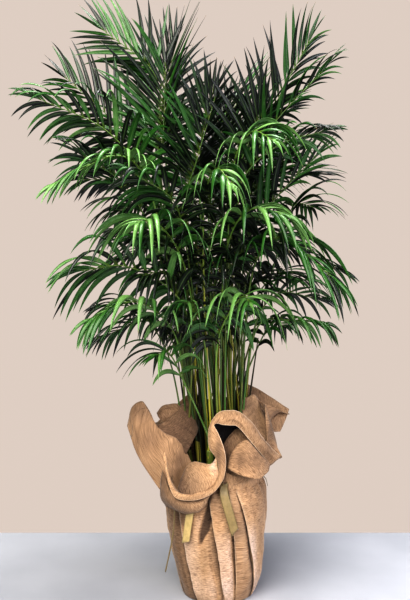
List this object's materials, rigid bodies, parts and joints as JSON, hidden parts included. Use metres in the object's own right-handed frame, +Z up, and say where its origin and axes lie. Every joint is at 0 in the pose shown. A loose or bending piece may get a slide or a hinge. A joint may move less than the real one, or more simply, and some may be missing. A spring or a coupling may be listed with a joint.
{
  "type": "potted palm",
  "caption": "Clump-growing feather palm with slender upright shoots and arching pinnate fronds, in a round pot dressed in a tied paper wrap with a folded-out collar",
  "frame": {"origin": "middle of the flat patch that the wrapped pot stands on, on the floor", "axes": "+Z up; +Y away from the viewer, so -Y is the front, with the knot of the tie; +X to the viewer's right"},
  "size_m": [0.9445, 0.8799, 1.7589],
  "materials": {
    "paper": "matte crinkled kraft paper",
    "ribbon": "satin, olive-gold woven ribbon",
    "pot": "matte black moulded plastic",
    "soil": null,
    "cane": null,
    "foliage": null
  },
  "bodies": {
    "root": {"wrap": "paper", "tie": "ribbon", "pot": "pot", "soil": "soil", "cane_1": "cane", "cane_2": "cane", "cane_3": "cane", "cane_4": "cane", "cane_5": "cane", "cane_6": "cane", "cane_7": "cane", "cane_8": "cane", "cane_9": "cane", "cane_10": "cane", "cane_11": "cane", "cane_12": "cane", "cane_13": "cane", "cane_14": "cane", "frond_top_left": "foliage", "frond_left_mid_back": "foliage", "frond_upper_left": "foliage", "frond_upper_left_low": "foliage", "frond_top_centre_left": "foliage", "frond_back_left_centre": "foliage", "frond_centre_upright": "foliage", "frond_back_high": "foliage", "frond_top_right": "foliage", "frond_back_right_high": "foliage", "frond_right_up": "foliage", "frond_right_arch": "foliage", "frond_front_high": "foliage", "frond_front_right": "foliage", "frond_front_small": "foliage", "frond_front_left": "foliage", "frond_right_back": "foliage", "frond_right_mid": "foliage", "frond_right_hanging": "foliage", "frond_right_low": "foliage", "frond_left_mid": "foliage", "frond_left_low": "foliage", "frond_front_low": "foliage", "frond_front_left_low": "foliage", "frond_left_back_low": "foliage", "frond_back_left": "foliage", "frond_back_right": "foliage", "frond_back_low": "foliage"}
  },
  "joints": []
}
